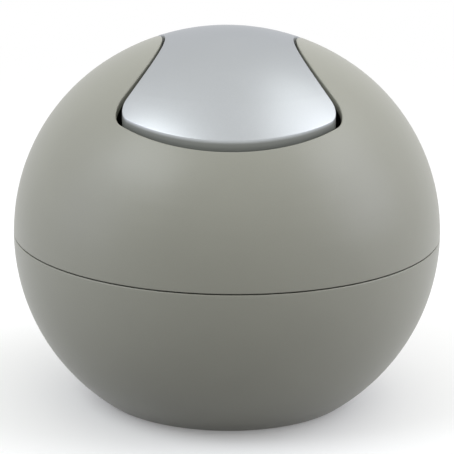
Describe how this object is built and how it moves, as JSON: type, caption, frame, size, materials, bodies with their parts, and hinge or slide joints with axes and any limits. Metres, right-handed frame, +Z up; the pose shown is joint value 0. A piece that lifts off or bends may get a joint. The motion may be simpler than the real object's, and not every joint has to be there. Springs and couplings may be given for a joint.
{
  "type": "swing-lid table bin",
  "caption": "Small ball-shaped waste bin in matte warm grey: bowl with rubber feet, lift-off dome and a waisted satin-silver lid that rocks on a cross pivot and swings back level.",
  "frame": {"origin": "point on the floor under the centre of the bowl, in the plane of the feet's undersides", "axes": "+Z up, -Y towards the front wing of the lid, X along the lid's pivot axis"},
  "size_m": [0.16, 0.16, 0.1406],
  "materials": {
    "body_plastic": "matte warm grey, fine moulded grain",
    "lid_lacquer": "satin metallic silver lacquer on plastic",
    "bridge_plastic": "dark grey moulded plastic",
    "bush_plastic": "natural white acetal",
    "pin_steel": "zinc-plated steel",
    "foot_rubber": "soft black rubber"
  },
  "bodies": {
    "bowl": {"bowl": "body_plastic", "foot_1": "foot_rubber", "foot_2": "foot_rubber", "foot_3": "foot_rubber", "foot_4": "foot_rubber"},
    "dome": {"dome": "body_plastic", "pivot_bush_left": "bush_plastic", "pivot_bush_right": "bush_plastic"},
    "lid": {"lid_shell": "lid_lacquer", "hinge_bridge": "bridge_plastic", "pivot_pin_left": "pin_steel", "pivot_pin_right": "pin_steel", "ballast_bar": "pin_steel", "bridge_screws": "pin_steel"}
  },
  "joints": [
    {"name": "dome_lift", "type": "slide", "parent": "bowl", "child": "dome", "axis": [0, 0, 1], "range_m": [0, 0.1]},
    {"name": "lid_swing", "type": "hinge", "parent": "dome", "child": "lid", "pos_m": [0, 0, 0.1298], "axis": [1, 0, 0], "range_deg": [-75, 75]}
  ]
}
